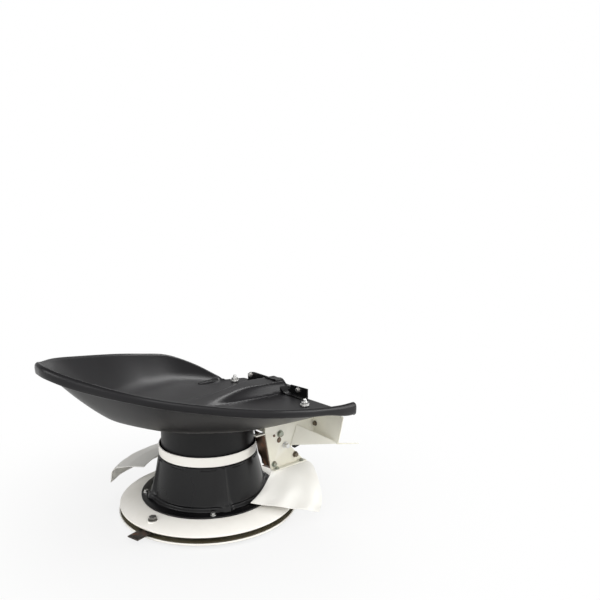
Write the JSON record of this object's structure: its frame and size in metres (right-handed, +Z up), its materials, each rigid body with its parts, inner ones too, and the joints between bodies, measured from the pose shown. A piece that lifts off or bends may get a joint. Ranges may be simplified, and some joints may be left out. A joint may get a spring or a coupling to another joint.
{
  "type": "drum disc mower attachment for a two-wheeled tractor",
  "caption": "Front-mounted drum disc mower: spinning disc with free-swinging knives, glide dish, moulded hood, frame and side guards.",
  "frame": {"origin": "on the ground, at the centre of the glide dish's sole, under the drum axis", "axes": "+X the way of travel, +Y the machine's left, +Z up along the drum axis"},
  "size_m": [0.871, 0.8539, 0.561],
  "materials": {
    "cream_paint": "satin cream paint",
    "black_paint": "semi-gloss black paint",
    "black_plastic": "satin moulded black plastic",
    "knife_steel": "dark hardened steel",
    "machined_steel": "machined",
    "zinc_steel": "zinc plated",
    "cast_housing": "black painted casting",
    "cream_cloth": "coated cream cloth",
    "rubber": "black rubber"
  },
  "bodies": {
    "frame": {"collar": "black_paint", "gearbox": "cast_housing", "coupling_flange": "cast_housing", "hood": "black_plastic", "side_plate_left": "cream_paint", "side_plate_right": "cream_paint", "rear_guard": "cream_paint", "cross_beam": "cream_paint", "buffers": "rubber", "hitch_bracket": "black_paint", "hood_fixings": "zinc_steel", "guard_left": "cream_cloth", "guard_right": "cream_cloth"},
    "rotor": {"cutting_disc": "cream_paint", "drum_shell": "black_paint", "drum_band": "cream_paint", "rotor_shaft": "machined_steel", "knife_pins": "zinc_steel"},
    "dish": {"glide_dish": "cream_paint"},
    "front_knife": {"knife_front": "knife_steel"},
    "rear_knife": {"knife_rear": "knife_steel"},
    "input": {"input_shaft": "machined_steel"}
  },
  "joints": [
    {"name": "rotor_spin", "type": "hinge", "parent": "frame", "child": "rotor", "pos_m": [0, 0, 0.23], "axis": [0, 0, 1], "continuous": true},
    {"name": "dish_spin", "type": "hinge", "parent": "rotor", "child": "dish", "pos_m": [0, 0, 0.02], "axis": [0, 0, 1], "continuous": true},
    {"name": "front_knife_swing", "type": "hinge", "parent": "rotor", "child": "front_knife", "pos_m": [0.23872, 0.05511, 0.026], "axis": [0, 0, 1], "continuous": true},
    {"name": "rear_knife_swing", "type": "hinge", "parent": "rotor", "child": "rear_knife", "pos_m": [-0.23872, -0.05511, 0.026], "axis": [0, 0, 1], "continuous": true},
    {"name": "input_spin", "type": "hinge", "parent": "frame", "child": "input", "pos_m": [-0.3, 0, 0.292], "axis": [1, 0, 0], "continuous": true}
  ],
  "couplings": [
    {"joint": "input_spin", "follows": "rotor_spin", "ratio": 0.5}
  ]
}
